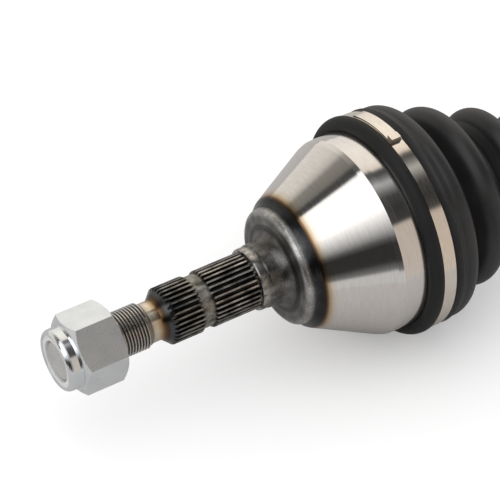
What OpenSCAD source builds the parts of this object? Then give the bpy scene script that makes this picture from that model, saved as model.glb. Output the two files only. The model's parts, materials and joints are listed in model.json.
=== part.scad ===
// Front half shaft of a car: a ball joint with a splined wheel stub, a bar, and a tripod joint with a
// gearbox stub. +X runs along the shaft from the wheel nut to the gearbox end, +Z is up, and the origin
// is on the axis in the middle of the bar, halfway between the two joint centres.

/* [Bar] */
// Distance between the centres of the two joints
joint_span = 400; // [360:1:600]
// Diameter of the bare bar between the boots
bar_d = 25; // [24:0.5:28]
// Diameter of the bar's necks inside the joints and under the boots
bar_neck_d = 24; // [22.5:0.5:24]
// Diameter of the bar's waist in the mouth of the tripod joint, where the bar tilts furthest out
bar_waist_d = 21.6; // [20:0.2:24]
// Diameter over the splines at both ends of the bar
bar_spline_d = 25; // [24:0.2:25.4]
// Depth of the bar's spline teeth
bar_spline_depth = 0.9; // [0.6:0.1:1.2]
// Teeth on each end of the bar
bar_spline_teeth = 26; // [20:1:30]
// Diameter of the stop collars that the race and the spider seat against
bar_stop_d = 26.8; // [26:0.2:29]
// Width of the stop collars
bar_stop_w = 2.4; // [1.5:0.1:4]

/* [Wheel stub] */
// Thread diameter of the stub and its nut
thread_d = 22; // [20:0.5:24]
// Thread pitch
thread_pitch = 1.5; // [1:0.25:2]
// Length of the thread
thread_len = 43.9; // [38:0.1:60]
// Diameter of the relief behind the thread
relief_d = 19.2; // [16:0.1:20]
// Length of the relief
relief_len = 6; // [3:0.5:10]
// Length of the tapered lead before the splines
spline_lead = 3.3; // [2:0.1:6]
// Diameter over the hub splines
hub_spline_d = 27.7; // [26:0.1:29]
// Depth of the hub spline teeth
hub_spline_depth = 1.15; // [0.8:0.05:1.5]
// Teeth of the hub splines
hub_spline_teeth = 33; // [24:1:36]
// Length of the front run of splines
front_spline_len = 16.8; // [8:0.1:25]
// Width of the turned groove between the two runs
spline_gap = 5; // [2:0.1:8]
// Length of the rear run of splines
rear_spline_len = 24.7; // [15:0.1:35]
// Diameter of the light ring behind the splines
collar_d = 30.5; // [30:0.1:31.5]
// Width of that ring
collar_w = 3.3; // [2:0.1:5]
// Diameter of the forged neck
neck_d = 31.2; // [30.6:0.1:34]
// Length of the neck, from the ring to the shoulder
neck_len = 11.8; // [9:0.1:18]
// Fillet between the neck and the shoulder
neck_fillet = 6; // [3:0.1:7.5]
// Diameter of the hub shoulder over its rounded rim
shoulder_d = 57.4; // [54:0.2:62]
// Rounding of that rim
shoulder_rim = 2.4; // [1:0.1:3]

/* [Bell] */
// Diameter where the turned cone starts
flare_d = 66; // [62:0.5:76]
// Length from the shoulder to the start of the cone
flare_len = 8.35; // [6:0.05:12]
// Length of the turned cone
cone_len = 29.6; // [26:0.1:32]
// Diameter at the sharp edge between the cone and the barrel
bell_edge_d = 95.8; // [94:0.2:97]
// Rise of the slightly barrelled surface over that edge
bell_rise = 1; // [0.6:0.05:1.2]
// Shoulder to the joint centre
shoulder_to_centre = 50; // [49:0.5:56]
// Joint centre to the mouth of the bell
centre_to_mouth = 25.5; // [25:0.5:28]
// Diameter of the mouth inside
mouth_d = 87.6; // [87:0.2:89]

/* [Ball joint] */
// Ball diameter
ball_d = 19.05; // [18:0.05:19.2]
// Radius of the circle that the ball centres lie on
ball_circle_r = 30.5; // [30:0.1:31]
// Gap between a ball and the bottom of its track
track_gap = 0.7; // [0.6:0.05:0.8]
// How much wider than the ball the track is, on its radius, beyond that gap
track_relief = 2.9; // [2.7:0.05:3.1]
// Diameter of the spherical inner race
race_d = 55; // [54:0.2:56]
// Length of the inner race
race_len = 25; // [23:0.5:26]
// Wall of the cage
cage_wall = 5.6; // [5:0.1:6.5]
// Length of the cage
cage_len = 30; // [28:0.5:32]
// Gap between the nested spherical faces
sphere_gap = 0.35; // [0.25:0.05:0.45]
// Play of a ball in its window, along the shaft
window_play = 0.15; // [0.05:0.05:0.3]
// Play of a ball in its window, around the shaft
window_side_play = 1.1; // [0.5:0.1:1.5]
// Joint centre to the place where the bell's sphere opens into its mouth
cage_hold = 9; // [7:0.5:11]

/* [Tripod joint] */
// Distance from the shaft's axis to the middle of a roller
roller_circle_r = 22.5; // [22.3:0.1:24]
// Diameter of a roller over its crown
roller_d = 30; // [28:0.2:31]
// Width of a roller
roller_w = 10.5; // [9:0.1:10.8]
// Gap between a roller and its track
roller_gap = 0.5; // [0.4:0.05:0.7]
// Diameter of a trunnion
trunnion_d = 15; // [13:0.2:16]
// Diameter of a needle
needle_d = 2.5; // [2:0.1:2.5]
// Needles in a roller
needle_count = 20; // [12:1:20]
// Running clearance of the needles
needle_play = 0.02; // [0.01:0.005:0.03]
// Diameter of the spider's hub
hub_d = 33; // [31:0.2:33.4]
// Length of the spider's hub
hub_len = 20; // [17:0.5:21]
// Travel of the plunge each way
plunge = 18; // [10:0.5:22]
// Tilt of the inner joint each way, in degrees
inner_tilt = 14; // [10:1:14]
// Outer diameter of the tripod housing
housing_d = 83; // [82:0.2:92]
// Inner diameter of the housing between the tracks
housing_bore_d = 41; // [39:0.2:42]
// Thickness of the housing's closed end
housing_base = 11.5; // [8:0.5:16]
// Depth of the hollows outside, between the tracks
hollow_depth = 3.5; // [2:0.1:5]

/* [Gearbox stub] */
// Diameter of the oil seal's running face
seal_d = 40; // [34:0.5:44]
// Length of that face
seal_len = 18; // [12:0.5:26]
// Diameter over the gearbox splines
gear_spline_d = 27.2; // [25:0.1:30]
// Depth of the gearbox spline teeth
gear_spline_depth = 1.15; // [0.8:0.05:1.4]
// Teeth of the gearbox splines
gear_spline_teeth = 28; // [22:1:32]
// Length of the gearbox splines
gear_spline_len = 38; // [28:0.5:60]
// Diameter over the snap ring
snap_d = 26.6; // [25:0.1:27]

/* [Hub nut] */
// Width across the nut's flats
nut_af = 34; // [32:0.5:36]
// Height of the hexagon
nut_h = 21.7; // [18:0.1:26]
// Height of the crimped collar
nut_collar_h = 7; // [5.5:0.1:8]
// Diameter of the crimped collar
nut_collar_d = 29.8; // [29:0.1:31]
// Turn of the nut on its thread
nut_turn = 15; // [0:1:59]

/* [Boots and clamps] */
// Wall of the boots
boot_wall = 2.8; // [2:0.1:3.2]
// Start of the outer boot's lip, from the joint centre
lip_start = 2.2; // [1:0.1:3]
// Diameter of the outer boot's lip
lip_d = 109.8; // [107:0.2:112]
// Rounding of the lip's front edge
lip_round = 3.8; // [2:0.1:5]
// Diameter over the outer boot's first fold
outer_fold_d = 110.4; // [108:0.2:116]
// Step down in radius from one fold to the next
outer_fold_step = 9.8; // [9:0.1:10.2]
// Distance between two folds of the outer boot
outer_fold_pitch = 22.5; // [21:0.1:26]
// Depth of the outer boot's valleys
outer_fold_depth = 14; // [12:0.5:14.5]
// Diameter over the inner boot's first fold
inner_fold_d = 89; // [87:0.5:94]
// Step down in radius of the inner boot's folds
inner_fold_step = 5.2; // [4.6:0.1:5.6]
// Distance between two folds of the inner boot
inner_fold_pitch = 16; // [14:0.1:18]
// Depth of the inner boot's valleys
inner_fold_depth = 9; // [7:0.5:9.5]
// Length of a boot's neck on the bar
boot_neck_len = 12; // [10:0.5:16]
// Width of the large clamps
clamp_w = 6.6; // [5:0.1:7]
// Thickness of the clamp bands
clamp_t = 0.9; // [0.6:0.1:1.2]
// Gap between the bar side's pieces and a boot's neck
neck_gap = 0.3; // [0.2:0.05:0.4]

/* [Hidden] */
$fn = 96;
eps = 0.01;

// Fits shared by several pieces
spline_fit = 0.08;
ring_fit = 0.1;
seat_fit = 0.05;
ring_t = 1.7;
ring_opening = 26;

// Bar and its end grooves
bar_r = bar_d / 2;
bar_neck_r = bar_neck_d / 2;
bar_waist_r = bar_waist_d / 2;
bar_tip_r = bar_spline_d / 2;
bar_root_r = bar_tip_r - bar_spline_depth;
bar_groove_r = bar_root_r - 0.7;
bar_end = 14;
outer_x = -joint_span / 2;
inner_x = joint_span / 2;

// Stations of the wheel stub, measured from the centre of the ball joint
shoulder_x = -shoulder_to_centre;
neck_x = shoulder_x - neck_len;
collar_x = neck_x - collar_w;
rear_spline_x = collar_x - rear_spline_len;
gap_x = rear_spline_x - spline_gap;
front_spline_x = gap_x - front_spline_len;
lead_x = front_spline_x - spline_lead;
relief_x = lead_x - relief_len;
nose_x = relief_x - thread_len;
core_r = thread_d / 2 - 0.6134 * thread_pitch;
relief_r = relief_d / 2;
spline_r = hub_spline_d / 2;
spline_root_r = spline_r - hub_spline_depth;
collar_r = collar_d / 2;
neck_r = neck_d / 2;
rim_r = shoulder_d / 2;

// Bell
flare_x = shoulder_x + flare_len;
edge_x = flare_x + cone_len;
flare_r = flare_d / 2;
edge_r = bell_edge_d / 2;
barrel_r = edge_r + bell_rise;
boot_seat_r = barrel_r - 0.6;
mouth_r = mouth_d / 2;
clamp_x = lip_start + lip_round + 1.9 + clamp_w / 2;

// Ball joint
ball_r = ball_d / 2;
track_r = ball_r + track_gap + track_relief;
race_r = race_d / 2;
cage_in_r = race_r + sphere_gap;
cage_out_r = cage_in_r + cage_wall;
bell_in_r = cage_out_r + sphere_gap;
race_half = race_len / 2;

// Tripod joint, stations from its own centre
roller_r = roller_d / 2;
roller_track_r = roller_r + roller_gap;
trunnion_r = trunnion_d / 2;
needle_r = needle_d / 2;
needle_circle_r = trunnion_r + needle_play + needle_r;
roller_bore_r = trunnion_r + 2 * needle_play + needle_d;
roller_in = roller_circle_r - roller_w / 2;
roller_out = roller_circle_r + roller_w / 2;
retainer_t = 1.2;
trunnion_top = roller_out + retainer_t + 1.6;
hub_r = hub_d / 2;
hub_half = hub_len / 2;
stop_t = 2;
stop_play = 1.3;
tilt_reach = (roller_circle_r + roller_w / 2) * sin(60) * sin(inner_tilt);
stop_x = -(plunge + roller_r + tilt_reach + stop_play);
housing_mouth_x = stop_x - stop_t - 1.8;
housing_floor_x = plunge + roller_r + tilt_reach + 1.5;
housing_r = housing_d / 2;
housing_bore_r = housing_bore_d / 2;
housing_mouth_r = 27;
housing_seat_r = housing_r - 0.6;
track_floor_r = roller_circle_r + roller_track_r;
seal_x = housing_floor_x + housing_base + 4;
seal_r = seal_d / 2;
gear_x = seal_x + seal_len;
gear_r = gear_spline_d / 2;
gear_root_r = gear_r - gear_spline_depth;
gear_end_x = gear_x + gear_spline_len;
snap_t = 2;
snap_groove_r = gear_root_r - 1.6;

// Nut
nut_front_x = nose_x - 0.4;
nut_collar_x = nut_front_x + nut_collar_h - 1.2;
nut_rear_x = nut_collar_x + nut_h;
nut_collar_r = nut_collar_d / 2;
insert_r = nut_collar_r - 1.3;

// Boots: folds are counted from the joint, radii are over the folds
outer_fold_count = 4;
inner_fold_count = 5;
outer_crest_r = 8.4;
outer_valley_r = 3.2;
inner_crest_r = 4.6;
inner_valley_r = 2.6;
lip_r = lip_d / 2;
neck_round = 3;
outer_fold_x = centre_to_mouth + 2;
outer_neck_x = outer_fold_x + (outer_fold_count - 1) * outer_fold_pitch + outer_crest_r + neck_round;
inner_fold_x = housing_mouth_x - 8;
inner_neck_x = inner_fold_x - (inner_fold_count - 1) * inner_fold_pitch - inner_crest_r - neck_round;
boot_neck_in_r = bar_neck_r + neck_gap;
boot_neck_out_r = boot_neck_in_r + boot_wall + 0.4;
outer_clamp_seat_r = lip_r - 1.6;
inner_clamp_seat_r = housing_seat_r + boot_wall - 0.3;

steel = "#8d8d8b";
bright_steel = "#d9d7d2";
forged = "#4a4745";
zinc = "#c4c6c6";
rubber_black = "#1c1c1d";

// Shapes that repeat

// Points [x, radius] along an arc in a profile
function arc(cx, cr, r, from, to, steps) = [
    for (i = [0:steps])
        let (a = from + (to - from) * i / steps)
        [cx + r * cos(a), cr + r * sin(a)]
];

// A solid turned around the shaft's axis from [x, radius] points
module turned(points) {
    rotate([0, 90, 0])
        rotate_extrude()
            polygon([for (p = points) [p[1], p[0]]]);
}

// What the children draw on the XY plane, set at x and facing +X
module facing_x(x) {
    translate([x, 0, 0])
        rotate([0, 90, 0])
            children();
}

// A ring around the axis, from x to x + width, open over `gap` degrees at the bottom
module ring(x, width, inner, outer, gap = 0) {
    facing_x(x)
        rotate([0, 0, gap / 2])
            rotate_extrude(angle = 360 - gap)
                translate([inner, 0])
                    square([outer - inner, width]);
}

// Outline of a toothed bar; `root` and `tip` are half widths of a tooth as shares of a pitch
module teeth_outline(count, root_r, tip_r, root = 0.36, tip = 0.16) {
    pitch = 360 / count;
    polygon([
        for (i = [0:count - 1], p = [[root_r, -root], [tip_r, -tip], [tip_r, tip], [root_r, root]])
            let (a = pitch * (i + p[1]))
            [p[0] * cos(a), p[0] * sin(a)]
    ]);
}

// Spline teeth between two stations, with tips turned to tip_r and both ends chamfered
module splines(from, to, count, root_r, tip_r, lead = 1, tip = 0.12) {
    depth = tip_r - root_r;
    intersection() {
        facing_x(from)
            linear_extrude(to - from)
                teeth_outline(count, root_r - 0.4, tip_r + 0.3, 0.4, tip);
        turned([
            [from, 0], [from, root_r], [from + lead, tip_r],
            [to - depth, tip_r], [to, root_r], [to, 0]
        ]);
    }
}

// The toothed hole that fits over the bar's splines
module bar_spline_bore(from, to) {
    facing_x(from)
        linear_extrude(to - from)
            teeth_outline(bar_spline_teeth, bar_root_r + spline_fit, bar_tip_r + spline_fit, 0.44, 0.2);
}

// Part of a torus in the plane of the axis and the radius at angle az (0 is +Z), along a ball's path
module ball_path(az, mid_r, tube_r, from, to) {
    rotate([az, 0, 0])
        rotate([90, 0, 0])
            rotate([0, 0, from])
                rotate_extrude(angle = to - from)
                    translate([mid_r, 0])
                        circle(r = tube_r);
}

// Children at ball number i, on +Z for number 0
module at_ball(i) {
    translate([outer_x, 0, 0])
        rotate([60 * i, 0, 0])
            translate([0, 0, ball_circle_r])
                children();
}

// Children stand on the shaft's axis and point out along trunnion i, which is +Y for number 1
module at_trunnion(i) {
    translate([inner_x, 0, 0])
        rotate([120 * (i - 1), 0, 0])
            rotate([-90, 0, 0])
                children();
}

// Outer or inner line of a boot's folds; `shift` moves it along the wall's normal, and the first fold
// rises out of the seat at the angle `rise`
function fold_line(count, x0, pitch, r0, step, depth, crest, valley, shift, rise) = [
    for (i = [0:count - 1])
        each concat(
            arc(x0 + i * pitch, r0 - i * step - crest, crest - shift, i == 0 ? rise : 165, 15, 8),
            i < count - 1
                ? arc(
                    x0 + (i + 0.5) * pitch, r0 - (i + 0.5) * step - depth + valley,
                    valley + shift, 205, 335, 5
                )
                : []
        )
];

// A boot between its lip and its neck: both lines and the wall between them
module boot(outside, inside) {
    turned(concat(outside, [for (i = [len(inside) - 1:-1:0]) inside[i]]));
}

// Wheel end

// Outside of the bell and its stub, from the nose to the mouth
module bell_form() {
    turned(concat(
        [
            [nose_x, 0], [nose_x, core_r - 1.4], [nose_x + 1.4, core_r], [relief_x, core_r],
            [relief_x + 0.8, relief_r], [lead_x, relief_r],
            [front_spline_x, spline_root_r], [collar_x, spline_root_r],
            [collar_x, collar_r - 0.6], [collar_x + 0.6, collar_r],
            [neck_x - 0.4, collar_r], [neck_x, neck_r - 0.7], [neck_x + 1, neck_r - 0.7],
            [neck_x + 1.7, neck_r]
        ],
        arc(shoulder_x - neck_fillet, neck_r + neck_fillet, neck_fillet, -90, 0, 8),
        arc(shoulder_x + shoulder_rim, rim_r - shoulder_rim, shoulder_rim, 180, 90, 6),
        [
            [shoulder_x + shoulder_rim + 1.4, rim_r + 0.3],
            [flare_x - 3, flare_r - 2.6], [flare_x - 1.2, flare_r - 0.7], [flare_x, flare_r],
            [edge_x, edge_r], [edge_x + 2.4, edge_r + bell_rise * 0.8],
            [edge_x + 6, barrel_r], [lip_start + 1, barrel_r], [lip_start + 1.6, boot_seat_r],
            [clamp_x - 2, boot_seat_r], [clamp_x - 1.4, boot_seat_r - 0.8],
            [clamp_x + 1.4, boot_seat_r - 0.8], [clamp_x + 2, boot_seat_r],
            [centre_to_mouth - 1, boot_seat_r], [centre_to_mouth, boot_seat_r - 1],
            [centre_to_mouth, 0]
        ]
    ));
}

// The spherical seat of the cage, the open mouth and the six ball tracks
module bell_hollow() {
    hold_r = sqrt(pow(bell_in_r, 2) - pow(cage_hold, 2)) - 0.2;
    mouth_len = centre_to_mouth - cage_hold;
    slope = (mouth_r - hold_r) / mouth_len;
    sphere(r = bell_in_r);
    facing_x(cage_hold)
        cylinder(h = mouth_len + 1, r1 = hold_r, r2 = mouth_r + slope);
    for (i = [0:5])
        ball_path(60 * i, ball_circle_r - track_relief, track_r, 20, 134);
}

module outer_housing() {
    color(bright_steel)
        translate([outer_x, 0, 0]) {
            difference() {
                bell_form();
                bell_hollow();
            }
            splines(front_spline_x, gap_x, hub_spline_teeth, spline_root_r, spline_r, spline_r - spline_root_r);
            splines(rear_spline_x, collar_x, hub_spline_teeth, spline_root_r, spline_r);
        }
}

module hub_nut() {
    hex_r = nut_af / 2 / cos(30);
    chamfer = (hex_r - nut_af / 2) * 0.8;
    color(zinc)
        translate([outer_x, 0, 0])
            difference() {
                union() {
                    intersection() {
                        facing_x(nut_collar_x)
                            rotate([0, 0, nut_turn])
                                cylinder(h = nut_h, r = hex_r, $fn = 6);
                        turned([
                            [nut_collar_x, 0], [nut_collar_x, nut_af / 2 - 0.6],
                            [nut_collar_x + chamfer, hex_r + 0.1],
                            [nut_rear_x - chamfer * 0.7, hex_r + 0.1],
                            [nut_rear_x, nut_af / 2 + 0.2], [nut_rear_x, 0]
                        ]);
                    }
                    turned(concat(
                        [[nut_collar_x + 1, 0], [nut_collar_x + 1, nut_collar_r + 0.5],
                            [nut_collar_x - 1, nut_collar_r]],
                        arc(nut_front_x + 1.6, nut_collar_r - 2.8, 2.8, 90, 155, 5),
                        [[nut_front_x - 0.94, 0]]
                    ));
                }
                facing_x(nut_front_x - 2)
                    cylinder(h = nut_h + nut_collar_h + 4, r = core_r + ring_fit);
                facing_x(nut_front_x - 0.4)
                    cylinder(h = nut_collar_h - 1.4, r = insert_r);
                facing_x(nut_front_x - 2)
                    cylinder(h = 3, r = insert_r - 0.8);
                facing_x(nut_rear_x - 1)
                    cylinder(h = 1 + eps, r1 = core_r + ring_fit, r2 = core_r + 1.1);
            }
}

module nut_insert() {
    color("#d8d8d4")
        translate([outer_x, 0, 0])
            ring(nut_front_x - 0.3, nut_collar_h - 1.6, core_r + ring_fit, insert_r - seat_fit);
}

// Ball joint

module inner_race() {
    color(steel)
        translate([outer_x, 0, 0])
            difference() {
                intersection() {
                    sphere(r = race_r);
                    facing_x(-race_half)
                        cylinder(h = race_len, r = race_r);
                }
                bar_spline_bore(-race_half - 1, race_half + 1);
                for (i = [0:5])
                    ball_path(60 * i, ball_circle_r + track_relief, track_r, 40, 140);
                ring(-race_half + 1.2, ring_t + 0.4, 0, bar_tip_r + 1);
            }
}

// A cage window for ball i, with round corners
module cage_window(i) {
    along = 2 * (ball_r + window_play);
    around = 2 * (ball_r + window_side_play);
    corner = 3;
    rotate([60 * i, 0, 0])
        translate([0, 0, cage_in_r - 6])
            linear_extrude(cage_wall + 12) {
                square([along - 2 * corner, around], center = true);
                square([along, around - 2 * corner], center = true);
                for (x = [-1, 1], y = [-1, 1])
                    translate([x * (along / 2 - corner), y * (around / 2 - corner)])
                        circle(r = corner);
            }
}

module outer_cage() {
    color(steel)
        translate([outer_x, 0, 0])
            difference() {
                intersection() {
                    sphere(r = cage_out_r);
                    facing_x(-cage_len / 2)
                        cylinder(h = cage_len, r = cage_out_r);
                }
                sphere(r = cage_in_r);
                facing_x(-cage_len / 2 - 1)
                    cylinder(h = cage_len + 2, r = sqrt(pow(cage_in_r, 2) - pow(cage_len / 2 - 1.5, 2)));
                for (i = [0:5])
                    cage_window(i);
            }
}

module ball(i) {
    color("#b9bbbd")
        at_ball(i)
            sphere(r = ball_r);
}

module ball_high() {
    ball(0);
}

module ball_low() {
    ball(3);
}

module side_balls() {
    for (i = [1, 2, 4, 5])
        ball(i);
}

module race_circlip() {
    color(steel)
        translate([outer_x, 0, 0])
            ring(
                -race_half + 1.2 + 0.2, ring_t, bar_groove_r + ring_fit, bar_tip_r + 1 - ring_fit,
                ring_opening
            );
}

// Bar

module axle_bar() {
    outer_stop = outer_x + race_half;
    inner_stop = inner_x - hub_half;
    outer_neck = outer_x + outer_neck_x;
    inner_neck = inner_x + inner_neck_x;
    color(forged)
        difference() {
            union() {
                turned([
                    [outer_x - bar_end, 0], [outer_x - bar_end, bar_root_r - 1],
                    [outer_x - bar_end + 1, bar_root_r], [outer_stop + seat_fit, bar_root_r],
                    [outer_stop + seat_fit, bar_stop_d / 2],
                    [outer_stop + seat_fit + bar_stop_w, bar_stop_d / 2],
                    [outer_stop + 2 * bar_stop_w, bar_neck_r],
                    [outer_neck + boot_neck_len + 1, bar_neck_r],
                    [outer_neck + boot_neck_len + 3, bar_r],
                    [inner_neck - boot_neck_len - 3, bar_r],
                    [inner_neck - boot_neck_len - 1, bar_neck_r],
                    [inner_neck + 2, bar_neck_r], [inner_neck + 4, bar_waist_r],
                    [inner_stop - 2 * bar_stop_w, bar_waist_r],
                    [inner_stop - seat_fit - bar_stop_w, bar_stop_d / 2],
                    [inner_stop - seat_fit, bar_stop_d / 2],
                    [inner_stop - seat_fit, bar_root_r],
                    [inner_x + bar_end - 1, bar_root_r], [inner_x + bar_end, bar_root_r - 1],
                    [inner_x + bar_end, 0]
                ]);
                splines(outer_x - bar_end, outer_stop + 1, bar_spline_teeth, bar_root_r, bar_tip_r);
                splines(inner_stop - 1, inner_x + bar_end, bar_spline_teeth, bar_root_r, bar_tip_r);
            }
            difference() {
                ring(outer_x - race_half + 1.2, ring_t + 0.4, 0, bar_tip_r + 2);
                facing_x(outer_x - race_half)
                    cylinder(h = ring_t + 3, r = bar_groove_r);
            }
            difference() {
                ring(inner_x + hub_half + ring_fit, ring_t + 0.2, 0, bar_tip_r + 2);
                facing_x(inner_x + hub_half)
                    cylinder(h = ring_t + 2, r = bar_groove_r);
            }
        }
}

// Tripod joint

module spider() {
    color(steel)
        difference() {
            union() {
                translate([inner_x, 0, 0])
                    turned([
                        [-hub_half, 0], [-hub_half, hub_r - 1.2], [-hub_half + 1.2, hub_r],
                        [hub_half - 1.2, hub_r], [hub_half, hub_r - 1.2], [hub_half, 0]
                    ]);
                for (i = [1:3])
                    at_trunnion(i) {
                        cylinder(h = roller_in - 0.25, r = trunnion_r + 1.6);
                        difference() {
                            cylinder(h = trunnion_top, r = trunnion_r);
                            translate([0, 0, roller_out + 0.05])
                                difference() {
                                    cylinder(h = retainer_t + 0.1, r = trunnion_r + 1);
                                    cylinder(h = retainer_t + 0.1, r = trunnion_r - 0.6);
                                }
                        }
                    }
            }
            translate([inner_x, 0, 0])
                bar_spline_bore(-hub_half - 1, hub_half + 1);
        }
}

module spider_circlip() {
    color(steel)
        ring(
            inner_x + hub_half + 2 * ring_fit, ring_t, bar_groove_r + ring_fit, bar_tip_r + 2.2,
            ring_opening
        );
}

module roller(i) {
    color("#a9abac")
        at_trunnion(i)
            translate([0, 0, roller_circle_r])
                rotate_extrude()
                    intersection() {
                        circle(r = roller_r);
                        translate([roller_bore_r, -roller_w / 2])
                            square([roller_r, roller_w]);
                    }
}

module roller_1() {
    roller(1);
}

module roller_2() {
    roller(2);
}

module roller_3() {
    roller(3);
}

module needles(i) {
    color("#c9cbcc")
        at_trunnion(i)
            for (k = [0:needle_count - 1])
                rotate([0, 0, 360 * k / needle_count])
                    translate([needle_circle_r, 0, roller_in + 0.5])
                        cylinder(h = roller_w - 1, r = needle_r);
}

module needles_1() {
    needles(1);
}

module needles_2() {
    needles(2);
}

module needles_3() {
    needles(3);
}

module roller_retainers() {
    color(steel)
        for (i = [1:3])
            at_trunnion(i)
                translate([0, 0, roller_out + 0.1])
                    difference() {
                        cylinder(h = retainer_t, r = roller_bore_r - 0.2);
                        translate([0, 0, -1])
                            cylinder(h = retainer_t + 2, r = trunnion_r - 0.5);
                    }
}

// Outside of the tripod housing and the gearbox stub
module housing_form() {
    turned(concat(
        [
            [housing_mouth_x, 0], [housing_mouth_x, housing_seat_r - 0.8],
            [housing_mouth_x + 0.8, housing_seat_r], [housing_mouth_x + 18, housing_seat_r],
            [housing_mouth_x + 18.6, housing_r], [housing_floor_x, housing_r]
        ],
        arc(housing_floor_x, housing_r - housing_base, housing_base, 90, 10, 6),
        [
            [housing_floor_x + housing_base + 1, seal_r + 5],
            [seal_x - 1.5, seal_r + 1.5], [seal_x, seal_r],
            [gear_x - 1, seal_r], [gear_x, seal_r - 1], [gear_x, gear_root_r],
            [gear_end_x, gear_root_r], [gear_end_x, snap_groove_r],
            [gear_end_x + snap_t + 0.3, snap_groove_r], [gear_end_x + snap_t + 0.3, gear_root_r],
            [gear_end_x + snap_t + 2.4, gear_root_r], [gear_end_x + snap_t + 4, gear_root_r - 1.8],
            [gear_end_x + snap_t + 4, 0]
        ]
    ));
}

// The three roller tracks, the bore between them and the flared mouth
module housing_hollow() {
    depth = housing_floor_x - housing_mouth_x + 1;
    flare_start = -plunge + 5.5;
    facing_x(housing_mouth_x - 1) {
        cylinder(h = depth, r = housing_bore_r);
        for (i = [1:3])
            rotate([0, 0, 120 * i + 90])
                translate([roller_circle_r, 0, 0])
                    cylinder(h = depth, r = roller_track_r);
    }
    flare = (housing_mouth_r - housing_bore_r + 0.3) / (flare_start - housing_mouth_x);
    facing_x(housing_mouth_x - 1)
        cylinder(
            h = flare_start - housing_mouth_x + 1,
            r1 = housing_mouth_r + flare, r2 = housing_bore_r - 0.3
        );
    ring(stop_x - stop_t - 0.2, stop_t + 0.4, 0, track_floor_r + 0.6);
}

module inner_housing() {
    hollow_r = 18;
    color("#77736f")
        translate([inner_x, 0, 0]) {
            difference() {
                housing_form();
                housing_hollow();
                for (i = [1:3])
                    rotate([120 * i + 180, 0, 0])
                        translate([housing_mouth_x + 24, housing_r + hollow_r - hollow_depth, 0])
                            rotate([0, 90, 0])
                                cylinder(h = 80, r = hollow_r);
            }
            splines(gear_x, gear_end_x, gear_spline_teeth, gear_root_r, gear_r, 1, 0.19);
        }
}

module housing_stop_ring() {
    color(steel)
        translate([inner_x, 0, 0])
            ring(stop_x - stop_t, stop_t, housing_mouth_r - 0.5, track_floor_r + 0.4, ring_opening);
}

module gearbox_snap_ring() {
    color(steel)
        translate([inner_x, 0, 0])
            ring(gear_end_x + 0.15, snap_t, snap_groove_r + ring_fit, snap_d / 2, ring_opening);
}

// Boots and clamps

module outer_boot() {
    groove_x = clamp_x - clamp_w / 2 - 0.4;
    groove_end_x = clamp_x + clamp_w / 2 + 0.4;
    bead_x = groove_end_x + 3.9;
    neck_end_x = outer_neck_x + boot_neck_len;
    outside = concat(
        arc(lip_start + lip_round, lip_r - lip_round, lip_round, 180, 93, 6),
        [
            [groove_x - 0.6, lip_r], [groove_x, lip_r - 0.5], [groove_x, outer_clamp_seat_r],
            [groove_end_x, outer_clamp_seat_r], [groove_end_x, lip_r - 1.5],
            [groove_end_x + 0.6, lip_r - 1], [bead_x - 0.9, lip_r - 1.1],
            [bead_x - 0.4, lip_r - 0.6], [bead_x + 0.3, lip_r - 0.6], [bead_x + 1, lip_r - 1.5],
            [bead_x + 1.8, lip_r - 1.5]
        ],
        fold_line(
            outer_fold_count, outer_fold_x, outer_fold_pitch, outer_fold_d / 2, outer_fold_step,
            outer_fold_depth,             outer_crest_r, outer_valley_r, 0, 122
        ),
        arc(outer_neck_x, boot_neck_out_r + neck_round, neck_round, 195, 270, 4),
        [[neck_end_x - 1, boot_neck_out_r], [neck_end_x, boot_neck_out_r - 1]]
    );
    inside = concat(
        [
            [lip_start, barrel_r + seat_fit], [lip_start + 1, barrel_r + seat_fit],
            [lip_start + 1.6, boot_seat_r + seat_fit], [clamp_x - 1.9, boot_seat_r + seat_fit],
            [clamp_x - 1.3, boot_seat_r - 0.7], [clamp_x + 1.3, boot_seat_r - 0.7],
            [clamp_x + 1.9, boot_seat_r + seat_fit],
            [centre_to_mouth - 1, boot_seat_r + seat_fit]
        ],
        fold_line(
            outer_fold_count, outer_fold_x, outer_fold_pitch, outer_fold_d / 2, outer_fold_step,
            outer_fold_depth,             outer_crest_r, outer_valley_r, boot_wall, 122
        ),
        arc(outer_neck_x, boot_neck_out_r + neck_round, neck_round + boot_wall, 195, 255, 4),
        [[outer_neck_x, boot_neck_in_r], [neck_end_x, boot_neck_in_r]]
    );
    color(rubber_black)
        translate([outer_x, 0, 0])
            boot(outside, inside);
}

// A clamp band; its end laps over it at the top for `lap` degrees and ends in a raised hook
module band(x, width, inner, lap) {
    lap_end = 186.5;
    hook = lap / 9;
    ring(x, width, inner, inner + clamp_t);
    facing_x(x + width * 0.04)
        rotate([0, 0, lap_end - lap])
            rotate_extrude(angle = lap)
                translate([inner + clamp_t - eps, 0])
                    square([clamp_t, width * 0.92]);
    facing_x(x + width * 0.12)
        rotate([0, 0, lap_end - hook])
            rotate_extrude(angle = hook)
                translate([inner + 2 * clamp_t - 2 * eps, 0])
                    square([clamp_t * 1.5, width * 0.76]);
}

module outer_large_clamp() {
    color(bright_steel)
        translate([outer_x, 0, 0])
            band(clamp_x - clamp_w / 2, clamp_w, outer_clamp_seat_r + seat_fit, 33);
}

module outer_small_clamp() {
    color(bright_steel)
        translate([outer_x, 0, 0])
            band(outer_neck_x + 4, clamp_w * 0.8, boot_neck_out_r + neck_gap, 70);
}

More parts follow.
